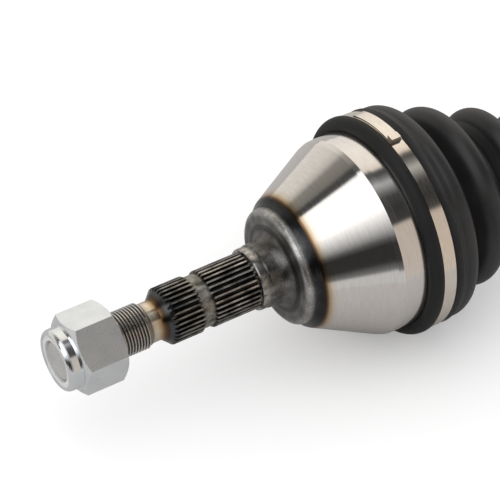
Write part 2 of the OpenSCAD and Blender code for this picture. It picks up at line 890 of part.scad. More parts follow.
module inner_boot() {
    start_x = housing_mouth_x + 17.6;
    groove_x = start_x - 6;
    groove_end_x = groove_x - clamp_w - 0.8;
    neck_end_x = inner_neck_x - boot_neck_len;
    big_r = housing_seat_r + boot_wall + 0.6;
    folds = fold_line(
        inner_fold_count, -inner_fold_x, inner_fold_pitch, inner_fold_d / 2, inner_fold_step, inner_fold_depth,
        inner_crest_r, inner_valley_r, 0, 95
    );
    folds_inside = fold_line(
        inner_fold_count, -inner_fold_x, inner_fold_pitch, inner_fold_d / 2, inner_fold_step, inner_fold_depth,
        inner_crest_r, inner_valley_r, boot_wall, 95
    );
    outside = concat(
        arc(start_x - 2.4, big_r - 2.4, 2.4, 0, 90, 4),
        [
            [groove_x, big_r], [groove_x, inner_clamp_seat_r],
            [groove_end_x, inner_clamp_seat_r], [groove_end_x, big_r]
        ],
        [for (p = folds) [-p[0], p[1]]],
        arc(inner_neck_x, boot_neck_out_r + neck_round, neck_round, -15, -90, 4),
        [[neck_end_x + 1, boot_neck_out_r], [neck_end_x, boot_neck_out_r - 1]]
    );
    inside = concat(
        [[start_x, housing_seat_r + seat_fit], [housing_mouth_x, housing_seat_r + seat_fit]],
        [for (p = folds_inside) [-p[0], p[1]]],
        arc(inner_neck_x, boot_neck_out_r + neck_round, neck_round + boot_wall, -15, -75, 4),
        [[inner_neck_x, boot_neck_in_r], [neck_end_x, boot_neck_in_r]]
    );
    color(rubber_black)
        translate([inner_x, 0, 0])
            boot(outside, inside);
}

module inner_large_clamp() {
    color(bright_steel)
        translate([inner_x, 0, 0])
            band(
                housing_mouth_x + 17.6 - 6.4 - clamp_w, clamp_w, inner_clamp_seat_r + seat_fit, 36
            );
}

module inner_small_clamp() {
    color(bright_steel)
        translate([inner_x, 0, 0])
            band(inner_neck_x - 4 - clamp_w * 0.8, clamp_w * 0.8, boot_neck_out_r + neck_gap, 70);
}

outer_housing();
hub_nut();
nut_insert();
inner_race();
outer_cage();
ball_high();
ball_low();
side_balls();
race_circlip();
outer_boot();
outer_large_clamp();
outer_small_clamp();
axle_bar();
spider();
spider_circlip();
roller_1();
roller_2();
roller_3();
needles_1();
needles_2();
needles_3();
roller_retainers();
inner_housing();
housing_stop_ring();
inner_boot();
inner_large_clamp();
inner_small_clamp();
gearbox_snap_ring();
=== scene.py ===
# %% [markdown]
# A drive shaft, dressed for its portrait.
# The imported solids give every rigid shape, so this script adds only what a solid can't hold well: the
# soft rubber boots, the cut thread, and the finishes. The first cell loads the solids and keeps their box,
# because nothing that is added may reach past it.

import json
import math

import bmesh
import bpy
from mathutils import Matrix, Vector


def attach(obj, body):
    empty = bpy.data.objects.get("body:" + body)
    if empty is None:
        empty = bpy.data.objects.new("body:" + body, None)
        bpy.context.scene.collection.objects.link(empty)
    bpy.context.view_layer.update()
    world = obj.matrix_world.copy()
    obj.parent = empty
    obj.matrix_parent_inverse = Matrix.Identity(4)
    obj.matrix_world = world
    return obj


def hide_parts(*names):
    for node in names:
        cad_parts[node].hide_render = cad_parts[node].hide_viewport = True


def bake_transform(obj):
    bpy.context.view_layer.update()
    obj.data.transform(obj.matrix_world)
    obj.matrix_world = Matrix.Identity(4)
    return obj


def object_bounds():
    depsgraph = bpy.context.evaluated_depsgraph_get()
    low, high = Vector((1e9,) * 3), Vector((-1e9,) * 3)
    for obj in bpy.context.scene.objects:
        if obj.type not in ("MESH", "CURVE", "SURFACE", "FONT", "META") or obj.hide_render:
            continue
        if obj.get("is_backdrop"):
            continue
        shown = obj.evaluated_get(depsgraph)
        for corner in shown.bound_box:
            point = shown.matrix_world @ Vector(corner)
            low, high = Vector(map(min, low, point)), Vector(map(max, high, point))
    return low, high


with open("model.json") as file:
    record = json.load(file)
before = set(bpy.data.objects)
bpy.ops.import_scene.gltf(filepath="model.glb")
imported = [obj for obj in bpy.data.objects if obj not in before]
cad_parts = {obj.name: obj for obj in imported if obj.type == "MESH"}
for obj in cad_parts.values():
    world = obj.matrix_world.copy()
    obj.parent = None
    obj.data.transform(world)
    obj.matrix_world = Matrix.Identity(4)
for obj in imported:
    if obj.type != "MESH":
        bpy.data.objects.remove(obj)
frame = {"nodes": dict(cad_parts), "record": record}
solid_box = [list(corner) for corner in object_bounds()]
MM = 0.001
OUTER_X = -200 * MM
INNER_X = 200 * MM
print("solids reach", [round((b - a) / MM, 1) for a, b in zip(*solid_box)], "mm")

# %% [markdown]
# Every finish below is one Principled shader that is fed by a few nodes. Writing each node out by hand
# takes five lines, so small helpers do it: one makes the material, one adds a node and plugs in its
# inputs, one adds a colour ramp, and the rest are the patterns that several finishes share. Colours are
# written as grey or red-green-blue light, not as screen values.

# %% Helpers for node trees
def new_finish(name, **sockets):
    """A material with one Principled shader, whose plain sockets are set here."""
    material = bpy.data.materials.new(name)
    material.use_nodes = True
    shader = material.node_tree.nodes["Principled BSDF"]
    for socket, value in sockets.items():
        shader.inputs[socket.replace("_", " ")].default_value = value
    return material, material.node_tree, shader


def plug(tree, shader, **sockets):
    """Feed the shader's named sockets from other nodes."""
    for socket, output in sockets.items():
        tree.links.new(output, shader.inputs[socket.replace("_", " ")])


def add(tree, kind, inputs=None, **settings):
    """One node. `inputs` maps a socket's name or number to a value or to another node's output."""
    node = tree.nodes.new("ShaderNode" + kind)
    for setting, value in settings.items():
        setattr(node, setting, value)
    for socket, value in (inputs or {}).items():
        if isinstance(value, bpy.types.NodeSocket):
            tree.links.new(value, node.inputs[socket])
        else:
            node.inputs[socket].default_value = value
    return node


def maths(tree, operation, a, b=0.0, c=0.0, clamp=False):
    return add(tree, "Math", {0: a, 1: b, 2: c}, operation=operation, use_clamp=clamp).outputs[0]


def colour(value):
    return (value, value, value, 1) if isinstance(value, (int, float)) else (*value, 1)


def ramp(tree, factor, stops, interpolation="LINEAR"):
    """A colour ramp through (position, colour) stops."""
    node = add(tree, "ValToRGB", {0: factor})
    band = node.color_ramp
    band.interpolation = interpolation
    band.elements[0].position, band.elements[0].color = stops[0][0], colour(stops[0][1])
    band.elements[1].position, band.elements[1].color = stops[-1][0], colour(stops[-1][1])
    for position, value in stops[1:-1]:
        band.elements.new(position).color = colour(value)
    return node.outputs["Color"]


def mix(tree, factor, a, b, blend_type="MIX"):
    """Two colours, mixed. `factor` 0 gives `a`."""
    node = add(tree, "Mix", {0: factor}, data_type="RGBA", blend_type=blend_type)
    for socket, value in ((6, a), (7, b)):
        if isinstance(value, bpy.types.NodeSocket):
            tree.links.new(value, node.inputs[socket])
        else:
            node.inputs[socket].default_value = colour(value)
    return node.outputs[2]


def tinted(tree, factor, base, tint):
    """`base`, multiplied by `tint` where `factor` is 1."""
    return mix(tree, factor, base, mix(tree, 1.0, base, tint, "MULTIPLY"))


def around_shaft(tree):
    """Where a point lies on a turned part: along the axis, out from it, and round it (-1 to 1)."""
    place = add(tree, "SeparateXYZ", {0: add(tree, "TexCoord").outputs["Object"]})
    x, y, z = place.outputs
    squares = maths(tree, "ADD", maths(tree, "MULTIPLY", y, y), maths(tree, "MULTIPLY", z, z))
    out = maths(tree, "SQRT", squares)
    turn = maths(tree, "DIVIDE", maths(tree, "ARCTAN2", z, y), math.pi)
    return x, out, turn


def between(tree, value, low, high):
    """0 at `low`, 1 at `high`, held at both ends."""
    return add(tree, "MapRange", {0: value, 1: low, 2: high, 3: 0.0, 4: 1.0}).outputs[0]


def speckle(tree, per_metre, detail=4.0, stretch=(1, 1, 1)):
    """Even noise on the object, with `per_metre` grains to the metre."""
    spot = add(tree, "Mapping", {0: add(tree, "TexCoord").outputs["Object"], 3: stretch}).outputs[0]
    return add(tree, "TexNoise", {"Vector": spot, "Scale": per_metre, "Detail": detail}).outputs["Fac"]


def bump(tree, shader, height, depth, strength=1.0):
    """Relief of `depth` metres, driven by `height`."""
    node = add(tree, "Bump", {"Strength": strength, "Distance": depth, "Height": height})
    plug(tree, shader, Normal=node.outputs[0])


print("helpers for node trees are ready")

# %% [markdown]
# The turned wheel end is one piece of steel that changes its skin along its length: a gold heat tint at the
# thread's relief, oily dark splines, a worn collar, the black skin of the forging, then a thin brown line
# where the lathe's cut starts and a mirror on the bell. The joints between these skins are rings, so a ramp
# along the axis gives them their exact places, and no picture is needed.

# %% Zones of the wheel end, along the axis in millimetres
BELL_FROM, BELL_TO = -366.0, -170.0
SPLINE_ROOT_R, SPLINE_TIP_R = 12.72 * MM, 13.85 * MM
bell_skin = [
    (-366.0, (0.74, 0.74, 0.73)),
    (-364.2, (0.72, 0.72, 0.71)),
    (-363.4, (0.20, 0.17, 0.14)),
    (-320.8, (0.30, 0.26, 0.21)),
    (-320.0, (0.62, 0.57, 0.50)),
    (-318.0, (0.74, 0.65, 0.50)),
    (-316.2, (0.46, 0.34, 0.21)),
    (-314.8, (0.20, 0.12, 0.06)),
    (-313.6, (0.06, 0.035, 0.02)),
    (-312.4, (0.085, 0.088, 0.092)),
    (-307.0, (0.10, 0.10, 0.095)),
    (-296.6, (0.16, 0.148, 0.13)),
    (-295.6, (0.32, 0.31, 0.275)),
    (-290.4, (0.30, 0.29, 0.26)),
    (-289.0, (0.17, 0.162, 0.15)),
    (-266.4, (0.17, 0.162, 0.15)),
    (-265.2, (0.42, 0.405, 0.385)),
    (-262.0, (0.34, 0.325, 0.31)),
    (-261.0, (0.16, 0.155, 0.148)),
    (-252.0, (0.15, 0.145, 0.14)),
    (-250.2, (0.20, 0.198, 0.194)),
    (-248.2, (0.26, 0.258, 0.252)),
    (-247.0, (0.18, 0.18, 0.178)),
    (-246.0, (0.055, 0.057, 0.06)),
    (-243.6, (0.034, 0.035, 0.038)),
    (-242.6, (0.05, 0.038, 0.03)),
    (-242.0, (0.20, 0.115, 0.05)),
    (-241.2, (0.50, 0.38, 0.26)),
    (-239.6, (0.76, 0.68, 0.58)),
    (-237.5, (0.80, 0.775, 0.745)),
    (-170.0, (0.79, 0.76, 0.74)),
]
bell_gloss = [
    (-366.0, 0.34), (-320.8, 0.34), (-319.0, 0.24), (-313.6, 0.22), (-312.6, 0.20), (-309.0, 0.24),
    (-307.0, 0.30), (-296.0, 0.40), (-290.0, 0.40), (-289.0, 0.30), (-266.0, 0.30), (-265.0, 0.26),
    (-261.0, 0.30), (-252.0, 0.32), (-249.0, 0.36), (-246.0, 0.26), (-242.8, 0.22), (-241.0, 0.16),
    (-239.5, 0.13), (-170.0, 0.12),
]


def zones(tree, along, stops):
    """A ramp along the wheel end, whose stops are in millimetres from the frame's origin."""
    return ramp(tree, along, [((x - BELL_FROM) / (BELL_TO - BELL_FROM), value) for x, value in stops])


print(len(bell_skin), "colours and", len(bell_gloss), "roughnesses along the wheel end")

# %% [markdown]
# Flat colours along the axis would look painted. Noise breaks up the forged skin and greasy smears darken
# the
# stub. Two tints are painted light: rings on the face behind the splines, with painted shade in the groove
# at the neck's base and a painted highlight on the face's rim, and painted shade at the splines' roots below
# their worn, bright tips. Each is a tint that is multiplied onto the skin, only in its own zone.

# %% Skin of the wheel end
bell_steel, tree, shader = new_finish(
    "turned_steel", Metallic=1.0, Anisotropic=0.8, Anisotropic_Rotation=0.25,
)
x, out, turn = around_shaft(tree)
along = between(tree, x, BELL_FROM * MM, BELL_TO * MM)
skin = zones(tree, along, bell_skin)
gloss = zones(tree, along, bell_gloss)

forged = zones(tree, along, [
    (-366, 0), (-320, 0), (-318, 0.35), (-266, 1), (-262, 1), (-246, 1), (-243, 0.5), (-241.5, 0), (-170, 0),
])
grit = speckle(tree, 1500, 6.0)
blotch = speckle(tree, 160, 5.0)
patches = maths(tree, "MULTIPLY_ADD", grit, 0.45, maths(tree, "MULTIPLY", blotch, 0.55))
mottle = ramp(tree, patches, [(0.34, 0.55), (0.5, 0.95), (0.64, 1.5)])
skin = tinted(tree, forged, skin, mottle)

on_face = zones(tree, along, [
    (-366, 0), (-251.6, 0), (-250.6, 1), (-247.0, 1), (-246.4, 0), (-170, 0),
])
# Rings across the face: painted shade in the groove at the neck's base, and a painted highlight on the rim.
face_shade_and_highlight = ramp(tree, between(tree, out, 16 * MM, 32 * MM), [
    (0.0, 0.8), (0.16, 0.7), (0.22, 0.35), (0.34, 0.40), (0.42, 0.95), (0.54, 0.80),
    (0.62, 1.1), (0.70, 1.9), (0.78, 1.9), (0.84, 0.7), (1.0, 0.6),
])
skin = tinted(tree, on_face, skin, face_shade_and_highlight)

in_splines = zones(tree, along, [
    (-366, 0), (-309.6, 0), (-308.6, 1), (-296.4, 1), (-295.8, 0),
    (-289.8, 0), (-289.2, 1), (-266.2, 1), (-265.6, 0), (-170, 0),
])
tooth_height = between(tree, out, SPLINE_ROOT_R, SPLINE_TIP_R)
# Teeth: bright where their tips are worn, and painted shade at their roots between the teeth.
worn_tips_and_root_shade = ramp(tree, tooth_height, [(0.0, 0.12), (0.45, 0.32), (0.8, 1.2), (1.0, 2.3)])
skin = tinted(tree, in_splines, skin, worn_tips_and_root_shade)

on_stub = zones(tree, along, [
    (-366, 0), (-310.5, 0), (-308.5, 1), (-264, 1), (-258, 0.4), (-250, 0), (-170, 0),
])
smears = speckle(tree, 330, 6.0, (0.55, 1, 1))
grease = ramp(tree, smears, [(0.36, 0.38), (0.47, 0.85), (0.56, 1.08), (0.68, 1.45)])
skin = tinted(tree, on_stub, skin, grease)
print("skin of", bell_steel.name, "is mottled, ringed, toothed and greased")

# %% [markdown]
# A lathe leaves fine rings round the polish. Noise that hardly changes round the shaft but changes fast
# along it gives them, and a radial tangent stretches each highlight across them, as on real turned steel.

# %% Lathe marks of the wheel end
polished = zones(tree, along, [(-366, 0), (-241.6, 0), (-240.6, 1), (-170, 1)])
rings = add(tree, "CombineXYZ", {0: x, 1: maths(tree, "MULTIPLY", turn, 0.0012), 2: 0.0}).outputs[0]
lathe = add(tree, "TexNoise", {"Vector": rings, "Scale": 5200.0, "Detail": 3.0}).outputs["Fac"]
fine_rings = add(tree, "CombineXYZ", {0: x, 1: maths(tree, "MULTIPLY", turn, 0.012), 2: 0.0}).outputs[0]
haze = add(tree, "TexNoise", {"Vector": fine_rings, "Scale": 1300.0, "Detail": 5.0}).outputs["Fac"]
grain = ramp(tree, haze, [(0.35, 0.95), (0.65, 1.03)])
unevenness = maths(tree, "MULTIPLY", maths(tree, "SUBTRACT", haze, 0.5), 0.06)
plug(
    tree, shader,
    Base_Color=tinted(tree, polished, skin, grain),
    Roughness=maths(tree, "ADD", gloss, unevenness, clamp=True),
    Tangent=add(tree, "Tangent", direction_type="RADIAL", axis="X").outputs[0],
)
pits = maths(tree, "MULTIPLY", maths(tree, "MULTIPLY", grit, forged), 0.03)
grooves = maths(tree, "MULTIPLY", maths(tree, "MULTIPLY", lathe, polished), 0.0010)
bump(tree, shader, maths(tree, "ADD", pits, grooves), 1 * MM)
print(bell_steel.name, "has", len(tree.nodes), "nodes")

# %% [markdown]
# The nut is bright zinc: a pale, slightly milky metal with a fine grain, smoother on the turned collar than
# on its six flats. The nylon ring inside its collar grips the thread.

# %% Zinc and nylon of the nut
COLLAR_R, FLATS_R = 15.0 * MM, 15.6 * MM
zinc, tree, shader = new_finish("zinc", Metallic=1.0)
out = around_shaft(tree)[1]
on_flats = between(tree, out, COLLAR_R, FLATS_R)
grain = speckle(tree, 1100, 5.0)
cloud = speckle(tree, 110, 4.0)
plate = ramp(tree, cloud, [(0.35, (0.77, 0.805, 0.835)), (0.65, (0.85, 0.88, 0.905))])
satin = ramp(tree, grain, [(0.3, 0.27), (0.7, 0.34)])
turned_collar = ramp(tree, cloud, [(0.3, 0.13), (0.7, 0.20)])
plug(tree, shader, Base_Color=plate, Roughness=mix(tree, on_flats, turned_collar, satin))
bump(tree, shader, maths(tree, "MULTIPLY", grain, on_flats), 0.012 * MM)

nylon, tree, shader = new_finish("nylon", Roughness=0.42)
milky = ramp(tree, speckle(tree, 300, 3.0), [(0.3, (0.62, 0.62, 0.61)), (0.7, (0.69, 0.69, 0.68))])
plug(tree, shader, Base_Color=milky)
bump(tree, shader, speckle(tree, 700, 4.0), 0.01 * MM)
print("made", zinc.name, "and", nylon.name)

# %% [markdown]
# The rubber of the boots is black, but a satin skin on it mirrors the room softly, so the crests look
# charcoal. A little chalky bloom breaks it up. The lip under the clamp is duller than the folds.

# %% Rubber of the boots
rubber, tree, shader = new_finish("boot_rubber")
x = around_shaft(tree)[0]
on_folds = between(tree, x, -184 * MM, -181 * MM)
bloom = speckle(tree, 60, 5.0)
pores = speckle(tree, 2600, 3.0)
lip_black = ramp(tree, bloom, [(0.3, (0.0092, 0.0092, 0.0095)), (0.7, (0.0125, 0.0125, 0.0127))])
fold_black = ramp(tree, bloom, [(0.3, (0.0150, 0.0150, 0.0153)), (0.7, (0.0230, 0.0230, 0.0233))])
satin = ramp(tree, bloom, [(0.3, 0.38), (0.7, 0.48)])
plug(
    tree, shader,
    Base_Color=mix(tree, on_folds, lip_black, fold_black),
    Specular_IOR_Level=ramp(tree, on_folds, [(0.0, 0.24), (1.0, 0.40)]),
    Roughness=mix(tree, on_folds, 0.55, satin),
)
bump(tree, shader, pores, 0.008 * MM)
print("made", rubber.name)

# %% [markdown]
# The clamps are strip steel, bright and a little warm, with strokes that run round the band. The other
# steels differ only in how dark, how rough and how coarse they are, so one function makes them.

# %% Clamp bands and the plain steels
band_steel, tree, shader = new_finish("band_steel", Metallic=1.0, Anisotropic=0.6, Anisotropic_Rotation=0.25)
x, out, turn = around_shaft(tree)
strokes = add(tree, "CombineXYZ", {0: x, 1: maths(tree, "MULTIPLY", turn, 0.02), 2: 0.0}).outputs[0]
streak = add(tree, "TexNoise", {"Vector": strokes, "Scale": 1600.0, "Detail": 4.0}).outputs["Fac"]
plug(
    tree, shader,
    Base_Color=ramp(tree, streak, [(0.3, (0.80, 0.73, 0.65)), (0.7, (0.90, 0.84, 0.76))]),
    Roughness=ramp(tree, streak, [(0.3, 0.11), (0.7, 0.17)]),
    Tangent=add(tree, "Tangent", direction_type="RADIAL", axis="X").outputs[0],
)
bump(tree, shader, streak, 0.003 * MM)


def plain_steel(name, dark, light, rough_from, rough_to, grains, depth):
    """A steel with a grain of its own: ground, phosphated, cast or polished."""
    material, tree, shader = new_finish(name, Metallic=1.0)
    grain = speckle(tree, grains, 5.0)
    tone = ramp(tree, grain, [(0.35, dark), (0.65, light)])
    plug(tree, shader, Base_Color=tone, Roughness=ramp(tree, grain, [(0.35, rough_from), (0.65, rough_to)]))
    bump(tree, shader, grain, depth * MM)
    return material


ground_steel = plain_steel("ground_steel", (0.46, 0.45, 0.44), (0.60, 0.59, 0.58), 0.18, 0.30, 800, 0.01)
ball_steel = plain_steel("ball_steel", (0.70, 0.71, 0.72), (0.80, 0.80, 0.81), 0.05, 0.09, 400, 0.001)
spring_steel = plain_steel("spring_steel", (0.16, 0.155, 0.15), (0.28, 0.27, 0.26), 0.34, 0.46, 900, 0.02)
housing_steel = plain_steel("housing_steel", (0.22, 0.21, 0.20), (0.38, 0.36, 0.34), 0.30, 0.46, 500, 0.05)

bar_paint, tree, shader = new_finish("forged_steel", Specular_IOR_Level=0.6)
skin = speckle(tree, 600, 5.0)
black = ramp(tree, skin, [(0.35, (0.012, 0.012, 0.013)), (0.65, (0.03, 0.03, 0.031))])
plug(tree, shader, Base_Color=black, Roughness=ramp(tree, skin, [(0.35, 0.34), (0.65, 0.5)]))
bump(tree, shader, skin, 0.05 * MM)
print("made the bands, the bar's black paint and four plain steels")

# %% [markdown]
# The record names a material slot for each solid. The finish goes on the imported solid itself, so its shape
# stays exactly as it was made.

# %% Give each solid its finish
finish_of_slot = {
    "turned_steel": bell_steel, "zinc": zinc, "nylon": nylon, "ground_steel": ground_steel,
    "ball_steel": ball_steel, "spring_steel": spring_steel, "boot_rubber": rubber,
    "band_steel": band_steel, "forged_steel": bar_paint, "housing_steel": housing_steel,
}
for part in frame["record"]["subparts"]:
    solid = frame["nodes"][part["node"]]
    solid.data.materials.clear()
    solid.data.materials.append(finish_of_slot[part["material_slot"]])

# %% [markdown]
# The thread on the wheel stub is a ridge wound round a plain core. One small outline, spun round the axis
# and moved on by one pitch each turn, gives the true helix, which rings side by side would not.

# %% Cut thread of the wheel stub
THREAD_FROM, THREAD_TO = -363.0 * MM, -320.9 * MM
THREAD_PITCH, THREAD_R, THREAD_ROOT = 1.5 * MM, 10.97 * MM, 9.95 * MM
FLANK_R, BURIED_R = 10.16 * MM, 9.6 * MM
STEPS_PER_TURN = 56


def finished_mesh(bm, name, material):
    """Write the bmesh to a new object at the origin, and give it its finish."""
    mesh = bpy.data.meshes.new(name)
    bm.to_mesh(mesh)
    bm.free()
    piece = bpy.data.objects.new(name, mesh)
    bpy.context.scene.collection.objects.link(piece)
    mesh.materials.append(material)
    return piece


turns = (THREAD_TO - THREAD_FROM) / THREAD_PITCH - 1
bm = bmesh.new()
ridge = [
    (0.02, THREAD_ROOT), (0.20, FLANK_R), (0.66, THREAD_R), (0.84, THREAD_R), (1.28, FLANK_R),
    (1.48, THREAD_ROOT), (1.2, BURIED_R), (0.3, BURIED_R),
]
corners = [bm.verts.new((THREAD_FROM + along * MM, 0, r)) for along, r in ridge]
start = bm.faces.new(corners)
steps = round(turns * STEPS_PER_TURN)
bmesh.ops.spin(
    bm, geom=[start, *start.edges, *start.verts], cent=(0, 0, 0), axis=(1, 0, 0),
    dvec=(THREAD_PITCH / STEPS_PER_TURN, 0, 0), angle=math.tau * steps / STEPS_PER_TURN, steps=steps,
)
bmesh.ops.recalc_face_normals(bm, faces=bm.faces)
thread = finished_mesh(bm, "stub_thread", bell_steel)
print("thread of", round(turns, 1), "turns,", len(thread.data.polygons), "faces")

# %% [markdown]
# The lathe leaves the thread's crests bright, while its roots are painted dark as shade. The distance from
# the axis tells them apart, so it drives the colour.

# %% Steel of the thread
thread_steel, tree, shader = new_finish("thread_steel", Metallic=1.0)
out = around_shaft(tree)[1]
height = between(tree, out, 10.1 * MM, 10.95 * MM)
# Painted shade in the thread's roots, bright steel on its crests.
root_shade_to_crest = ramp(tree, height, [
    (0.0, (0.045, 0.04, 0.036)), (0.4, (0.20, 0.19, 0.18)),
    (0.8, (0.60, 0.59, 0.575)), (1.0, (0.78, 0.775, 0.765)),
])
uneven = ramp(tree, speckle(tree, 1200, 4.0), [(0.3, 0.20), (0.7, 0.34)])
plug(tree, shader, Base_Color=root_shade_to_crest, Roughness=uneven)
bump(tree, shader, speckle(tree, 2500, 4.0), 0.02 * MM)
thread.data.materials[0] = thread_steel
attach(thread, "bell")
print(thread.name, "rides on the bell")

# %% [markdown]
# A boot is a tube of even wall that is folded like a bellows. Its half outline is drawn once, as arcs over
# each crest and under each valley, and spun round the shaft. A boot has to bend with its joint, so it is cut
# into stretches: each end rides on one body, and the stretches between are baked in place and follow no
# body.

# %% Helpers for a boot
def arc(x, r, radius, start, stop, parts=12):
    """Points of an arc in the half plane (along, out), in degrees from +X."""
    return [
        (x + radius * math.cos(math.radians(start + (stop - start) * i / parts)),
         r + radius * math.sin(math.radians(start + (stop - start) * i / parts)))
        for i in range(parts + 1)
    ]


def folds(crests, valleys, valley_round, shift):
    """The line over each crest and under each valley; `shift` moves it inwards for the inner wall.

    A crest is (along, radius, its rounding, the angle where its arc starts); a valley is (along, radius)."""
    line = []
    for i, (x, top, crest_round, rise) in enumerate(crests):
        line += arc(x, top - crest_round, crest_round - shift, rise, 15, 20)
        if i < len(valleys):
            low_x, low_r = valleys[i]
            line += arc(low_x, low_r + valley_round, valley_round + shift, 195, 345, 16)
    return line


def spun(outline, name, material, parts=128):
    """Spin a half outline, given in metres, round the shaft into a closed skin."""
    bm = bmesh.new()
    points = [bm.verts.new((x, 0, r)) for x, r in outline]
    edges = [bm.edges.new(pair) for pair in zip(points, points[1:])]
    if outline[0] != outline[-1]:
        edges.append(bm.edges.new((points[-1], points[0])))
    bmesh.ops.spin(
        bm, geom=[*points, *edges], cent=(0, 0, 0), axis=(1, 0, 0),
        angle=math.tau, steps=parts, use_merge=True,
    )
    bmesh.ops.remove_doubles(bm, verts=bm.verts, dist=1e-6)
    bmesh.ops.recalc_face_normals(bm, faces=bm.faces)
    for face in bm.faces:
        face.smooth = True
    return finished_mesh(bm, name, material)


def metres(points, centre):
    return [(centre + x * MM, r * MM) for x, r in points]


print("an arc of 90 degrees has", len(arc(0, 0, 1, 0, 90)), "points")

# %% [markdown]
# The outer boot starts with a lip that the clamp presses on the bell, in a groove with a thin bead behind
# it, and its folds grow smaller down to a neck on the bar. Lengths count from the ball joint's centre and
# radii from the axis, all in millimetres, so they can be compared with a drawing.

# %% Outline of the outer boot
BOOT_WALL = 2.8
LIP_START, LIP_R, LIP_ROUND = 2.2, 54.9, 3.8
SEAT_R, CLAMP_SEAT_R, CLAMP_X, CLAMP_W = 48.45, 53.3, 11.2, 6.6
OUTER_CRESTS = [
    (24.2, 53.6, 6.0, 115), (45.8, 45.2, 6.5, 165), (71.5, 35.6, 6.5, 165), (95.0, 25.8, 6.5, 165),
]
OUTER_VALLEYS = [(35.0, 35.4), (58.6, 26.4), (83.5, 17.4)]
VALLEY_ROUND = 3.2
NECK_X, NECK_OUT, NECK_IN, NECK_END = 106.4, 15.5, 12.3, 118.4

groove_start = CLAMP_X - CLAMP_W / 2 - 0.4
groove_end = CLAMP_X + CLAMP_W / 2 + 0.4
bead = groove_end + 3.9
outside = [
    *arc(LIP_START + LIP_ROUND, LIP_R - LIP_ROUND, LIP_ROUND, 180, 93, 10),
    (groove_start - 0.6, LIP_R), (groove_start, LIP_R - 0.5), (groove_start, CLAMP_SEAT_R),
    (groove_end, CLAMP_SEAT_R), (groove_end, LIP_R - 1.5), (groove_end + 0.3, LIP_R - 1.1),
    (groove_end + 0.8, LIP_R - 1.0),
    (bead - 0.9, LIP_R - 1.1), (bead - 0.5, LIP_R - 0.7), (bead - 0.1, LIP_R - 0.55),
    (bead + 0.3, LIP_R - 0.7),
    (bead + 0.8, LIP_R - 1.5), (bead + 1.3, LIP_R - 1.7), (bead + 1.8, LIP_R - 1.5),
]
outside += folds(OUTER_CRESTS, OUTER_VALLEYS, VALLEY_ROUND, 0)
outside += arc(NECK_X, NECK_OUT + 3, 3, 195, 270, 6)
outside += [(NECK_END - 1, NECK_OUT), (NECK_END - 0.3, NECK_OUT - 0.3), (NECK_END, NECK_OUT - 1)]
inside = [(LIP_START, 49.1), (LIP_START + 1, 49.1), (LIP_START + 1.6, SEAT_R), (22.0, SEAT_R)]
inside += folds(OUTER_CRESTS, OUTER_VALLEYS, VALLEY_ROUND, BOOT_WALL)
inside += arc(NECK_X, NECK_OUT + 3, 3 + BOOT_WALL, 195, 255, 6) + [(NECK_X, NECK_IN), (NECK_END, NECK_IN)]
print("outer boot outline:", len(outside) + len(inside), "points")

# %% [markdown]
# The ball joint bends twice on each side of its cage, so the boot is cut into four stretches between the
# bell and the bar. The cuts between them are planes across the shaft; the four stretches are baked in place
# and follow no body.

# %% Cut a boot into stretches
def stretch_of(boot, name, low, high):
    """A copy of the boot between two planes across the shaft."""
    bm = bmesh.new()
    bm.from_mesh(boot.data)
    for x, keep in ((low, 1), (high, -1)):
        if x is not None:
            bmesh.ops.bisect_plane(
                bm, geom=[*bm.verts, *bm.edges, *bm.faces], plane_co=(x, 0, 0), plane_no=(-keep, 0, 0),
                clear_outer=True, dist=1e-7,
            )
    return finished_mesh(bm, name, rubber)


def bending_boot(outline, name, node, cuts, bodies):
    """One skin, cut at `cuts`; its end stretches ride on the first and the last of `bodies`, those between
    are baked in place.
    """
    whole = spun(outline, name + "_whole", rubber)
    ends = [None, *cuts, None]
    made = []
    for i, (low, high) in enumerate(zip(ends, ends[1:])):
        piece = stretch_of(whole, f"{name}_{i + 1}", low, high)
        if i == 0 or i == len(ends) - 2:
            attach(piece, bodies[0] if i == 0 else bodies[-1])
        else:
            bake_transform(piece)
        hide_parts(node)
        made.append(piece)
    bpy.data.objects.remove(whole)
    print(name, "in", len(made), "stretches,", sum(len(p.data.polygons) for p in made), "faces")


bending_boot(
    metres(outside + inside[::-1], OUTER_X), "outer_boot_skin", "outer_boot",
    [OUTER_X + x * MM for x in (24.0, 40.0, 45.0, 50.0, 61.0)],
    ["bell", "high_ball", "cage", "low_ball", "bar"],
)

# %% [markdown]
# The inner boot is out of the picture, but it is on the part, and it is made the same way: its neck rides on
# the bar and its mouth on the tripod housing, and the two stretches between, which the tripod tilts and the
# plunge pushes and pulls, are baked in place.

# %% Inner boot
INNER_START, INNER_MOUTH, INNER_SEAT, BIG_R = -26.31, -43.91, 40.95, 44.2
INNER_NECK_X, INNER_NECK_END = -123.53, -135.53
INNER_FOLD_X, INNER_PITCH = 51.91, 16
INNER_CRESTS = [
    (INNER_FOLD_X + i * INNER_PITCH, 44.5 - 5.2 * i, 4.6, 95 if i == 0 else 165) for i in range(5)
]
INNER_VALLEYS = [
    (INNER_FOLD_X + (i + 0.5) * INNER_PITCH, r) for i, r in enumerate((34.5, 30.1, 25.0, 19.5))
]
INNER_VALLEY_ROUND = 2.6
GROOVE_R = 43.3
groove_at = INNER_START - 6
groove_far = groove_at - CLAMP_W - 0.8
outside = [
    *arc(INNER_START - 2.4, BIG_R - 2.4, 2.4, 0, 90, 6),
    (groove_at, BIG_R), (groove_at, GROOVE_R), (groove_far, GROOVE_R), (groove_far, BIG_R),
]
outside += [(-x, r) for x, r in folds(INNER_CRESTS, INNER_VALLEYS, INNER_VALLEY_ROUND, 0)]
outside += arc(INNER_NECK_X, NECK_OUT + 3, 3, -15, -90, 6)
outside += [(INNER_NECK_END + 1, NECK_OUT), (INNER_NECK_END, NECK_OUT - 1)]
inside = [(INNER_START, INNER_SEAT), (INNER_MOUTH, INNER_SEAT)]
